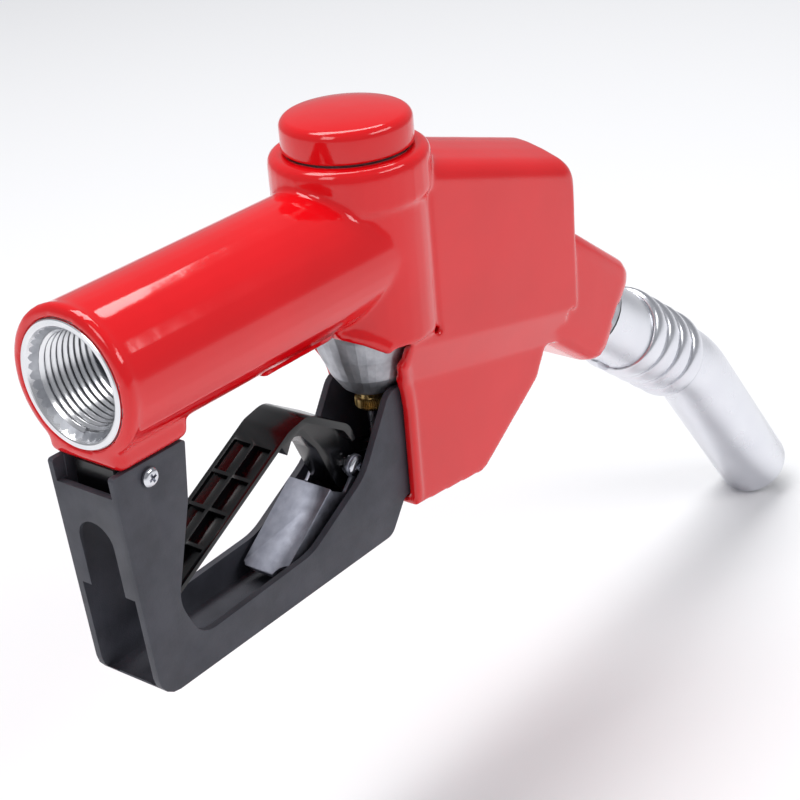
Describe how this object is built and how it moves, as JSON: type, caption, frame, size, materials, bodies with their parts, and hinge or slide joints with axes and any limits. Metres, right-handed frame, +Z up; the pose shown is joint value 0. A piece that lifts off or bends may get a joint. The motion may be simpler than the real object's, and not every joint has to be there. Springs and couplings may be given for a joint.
{
  "type": "fuel nozzle",
  "caption": "Automatic-shutoff fuel nozzle with a moulded hand cover, a squeeze lever with hold-open clip inside a guard, a capped main valve and a bent spout wound with a ridge spring.",
  "frame": {"origin": "centre of the hose mouth's end face", "axes": "+X along the hand grip towards the spout, +Z up along the main valve's axis, symmetric about the plane Y = 0"},
  "size_m": [0.3866, 0.0522, 0.2477],
  "materials": {
    "red_vinyl": "glossy dip-moulded vinyl",
    "cast_aluminium": "as cast, lightly blasted",
    "satin_aluminium": "satin, drawn tube",
    "spring_steel": "plain bright",
    "brass": "turned, slightly dull",
    "nitrile_rubber": "matt moulded",
    "acetal": "smooth moulded",
    "grained_black_plastic": "fine moulded grain",
    "gloss_black_plastic": "smooth moulded",
    "zinc_plated_steel": "zinc plated sheet",
    "chromed_steel": "bright plated"
  },
  "bodies": {
    "nozzle_body": {"body_casting": "cast_aluminium", "hand_cover": "red_vinyl", "valve_cap": "cast_aluminium", "cap_cover": "red_vinyl", "cap_seal": "nitrile_rubber", "poppet_spring": "spring_steel", "packing_nut": "brass", "packing_seal": "nitrile_rubber", "inlet_strainer": "spring_steel", "spout_tube": "satin_aluminium", "spout_spring": "spring_steel", "sensing_tube": "acetal", "check_seat": "satin_aluminium", "check_spring": "spring_steel", "spout_seal": "nitrile_rubber", "plunger_spring": "spring_steel", "diaphragm": "nitrile_rubber", "diaphragm_cover": "cast_aluminium", "diaphragm_spring": "spring_steel", "diaphragm_screw_1": "spring_steel", "diaphragm_screw_2": "spring_steel", "diaphragm_screw_3": "spring_steel", "diaphragm_screw_4": "spring_steel", "lever_guard": "grained_black_plastic", "guard_bolt": "chromed_steel", "guard_nut": "chromed_steel", "guard_front_pin": "chromed_steel", "guard_mount": "gloss_black_plastic"},
    "main_valve": {"valve_stem": "spring_steel", "main_poppet": "brass", "poppet_seal": "nitrile_rubber"},
    "trip_plunger": {"trip_plunger": "spring_steel", "lever_pivot_pin": "spring_steel", "latch_ball_1": "spring_steel", "latch_ball_2": "spring_steel", "latch_ball_3": "spring_steel"},
    "lever": {"lever": "gloss_black_plastic", "wear_plate": "spring_steel", "clip_pin": "chromed_steel", "clip_spring": "spring_steel"},
    "hold_open_clip": {"hold_open_clip": "zinc_plated_steel"},
    "latch_pin": {"latch_pin": "spring_steel"},
    "check_valve": {"check_poppet": "acetal"}
  },
  "joints": [
    {"name": "valve_lift", "type": "slide", "parent": "nozzle_body", "child": "main_valve", "axis": [0, 0, 1], "range_m": [0, 0.0094], "stiffness_N_per_m": 800, "springref_m": -0.01, "deforming": ["poppet_spring"]},
    {"name": "trip_drop", "type": "slide", "parent": "nozzle_body", "child": "trip_plunger", "axis": [0, 0, -1], "range_m": [0, 0.003], "stiffness_N_per_m": 1000, "springref_m": -0.005, "deforming": ["plunger_spring"]},
    {"name": "lever_pivot", "type": "hinge", "parent": "trip_plunger", "child": "lever", "pos_m": [0.166, 0, -0.079], "axis": [0, 1, 0], "range_deg": [0, 12.5], "stiffness_Nm_per_rad": 0.6, "springref_deg": -17.19},
    {"name": "clip_hinge", "type": "hinge", "parent": "lever", "child": "hold_open_clip", "pos_m": [0.105, 0, -0.0713], "axis": [0, 1, 0], "range_deg": [0, 22], "stiffness_Nm_per_rad": 0.05},
    {"name": "latch_release", "type": "slide", "parent": "nozzle_body", "child": "latch_pin", "axis": [0, 0, 1], "range_m": [0, 0.0028], "stiffness_N_per_m": 300, "springref_m": -0.002, "deforming": ["diaphragm", "diaphragm_spring"]},
    {"name": "check_opening", "type": "slide", "parent": "nozzle_body", "child": "check_valve", "axis": [0.8049, 0, -0.5934], "range_m": [0, 0.003], "stiffness_N_per_m": 300, "springref_m": -0.004, "deforming": ["check_spring"]}
  ],
  "couplings": [
    {"joint": "valve_lift", "follows": "lever_pivot", "m_per_rad": 0.0424}
  ]
}
